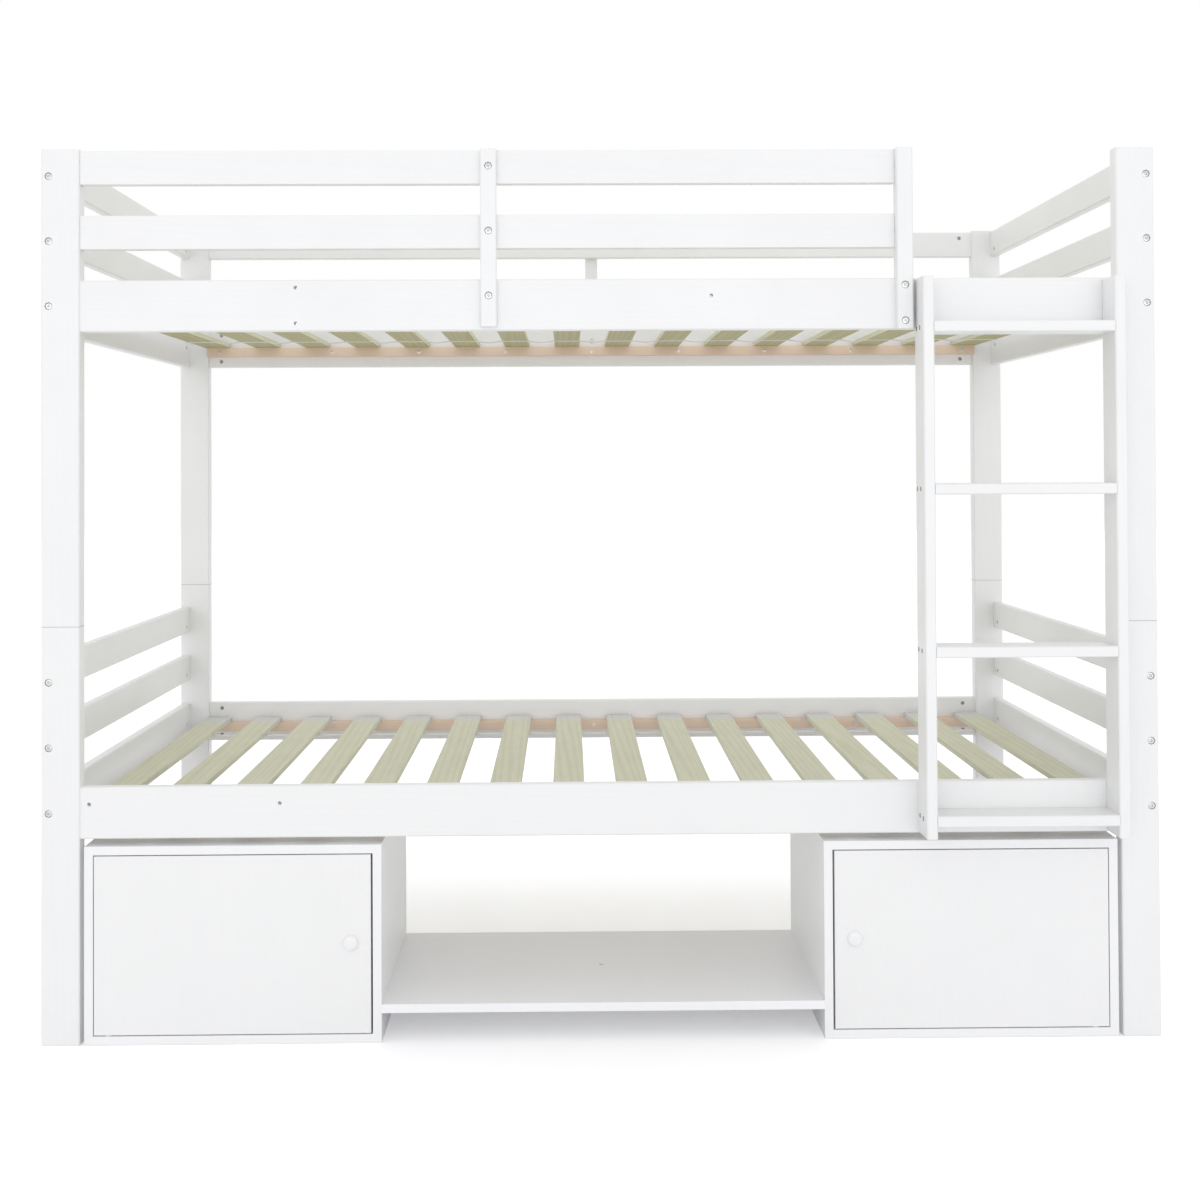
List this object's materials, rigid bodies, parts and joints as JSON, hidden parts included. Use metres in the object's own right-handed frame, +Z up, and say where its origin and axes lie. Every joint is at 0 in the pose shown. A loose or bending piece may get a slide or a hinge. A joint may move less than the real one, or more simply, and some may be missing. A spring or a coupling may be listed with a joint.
{
  "type": "bunk bed",
  "caption": "Timber bunk bed with slatted bases, guard rails, a bolt-on straight ladder and a low storage unit with hinged doors and a shelf.",
  "frame": {"origin": "On the floor, under the middle of the bed's bounding box.", "axes": "+X along the bed to its right as seen from the ladder side, +Y to the back, +Z up."},
  "size_m": [2.06, 1.041, 1.645],
  "materials": {
    "painted_wood": "satin white paint on solid timber",
    "painted_board": "satin white foil or paint on board",
    "slat_wood": "raw planed softwood, pale",
    "ledger_pine": "raw planed pine",
    "tape_white": "woven polyester tape",
    "zinc_steel": "bright zinc plate",
    "knob_white": "white lacquer",
    "washer_nylon": "natural nylon",
    "foot_plastic": "white plastic",
    "catch_plastic": "white plastic housing"
  },
  "bodies": {
    "bed": {"barrel_nuts": "zinc_steel", "cabinet_left_back": "painted_board", "cabinet_left_bottom": "painted_board", "cabinet_left_top": "painted_board", "cabinet_left_walls": "painted_board", "cabinet_right_back": "painted_board", "cabinet_right_bottom": "painted_board", "cabinet_right_top": "painted_board", "cabinet_right_walls": "painted_board", "door_catches": "catch_plastic", "door_pivots": "zinc_steel", "door_washers": "washer_nylon", "end_rail_bolts": "zinc_steel", "end_rails_left_lower": "painted_wood", "end_rails_left_upper": "painted_wood", "end_rails_right_lower": "painted_wood", "end_rails_right_upper": "painted_wood", "guard_bolts": "zinc_steel", "guard_end_post": "painted_wood", "guard_rail_front_middle": "painted_wood", "guard_rail_front_top": "painted_wood", "guard_rail_rear_middle": "painted_wood", "guard_rail_rear_top": "painted_wood", "guard_screws": "zinc_steel", "guard_strap_front": "painted_wood", "guard_strap_rear": "painted_wood", "ladder_bolts": "zinc_steel", "ladder_stile_left": "painted_wood", "ladder_stile_right": "painted_wood", "ladder_treads": "painted_wood", "ledgers_lower": "ledger_pine", "ledgers_upper": "ledger_pine", "post_front_left_lower": "painted_wood", "post_front_left_upper": "painted_wood", "post_front_right_lower": "painted_wood", "post_front_right_upper": "painted_wood", "post_pins": "zinc_steel", "post_rear_left_lower": "painted_wood", "post_rear_left_upper": "painted_wood", "post_rear_right_lower": "painted_wood", "post_rear_right_upper": "painted_wood", "shelf": "painted_board", "shelf_foot": "foot_plastic", "shelf_foot_screw": "zinc_steel", "side_rail_bolts": "zinc_steel", "side_rail_front_lower": "painted_wood", "side_rail_front_upper": "painted_wood", "side_rail_rear_lower": "painted_wood", "side_rail_rear_upper": "painted_wood", "slat_tapes": "tape_white", "slats_lower": "slat_wood", "slats_upper": "slat_wood", "sleeve_nuts": "zinc_steel"},
    "door_left": {"door_left": "painted_board", "door_left_knob": "knob_white", "door_left_strike": "zinc_steel"},
    "door_right": {"door_right": "painted_board", "door_right_knob": "knob_white", "door_right_strike": "zinc_steel"}
  },
  "joints": [
    {"name": "door_left_hinge", "type": "hinge", "parent": "bed", "child": "door_left", "pos_m": [-0.909, -0.452, 0.18125], "axis": [0, 0, -1], "range_deg": [0, 110]},
    {"name": "door_right_hinge", "type": "hinge", "parent": "bed", "child": "door_right", "pos_m": [0.909, -0.452, 0.18125], "axis": [0, 0, 1], "range_deg": [0, 110]}
  ]
}
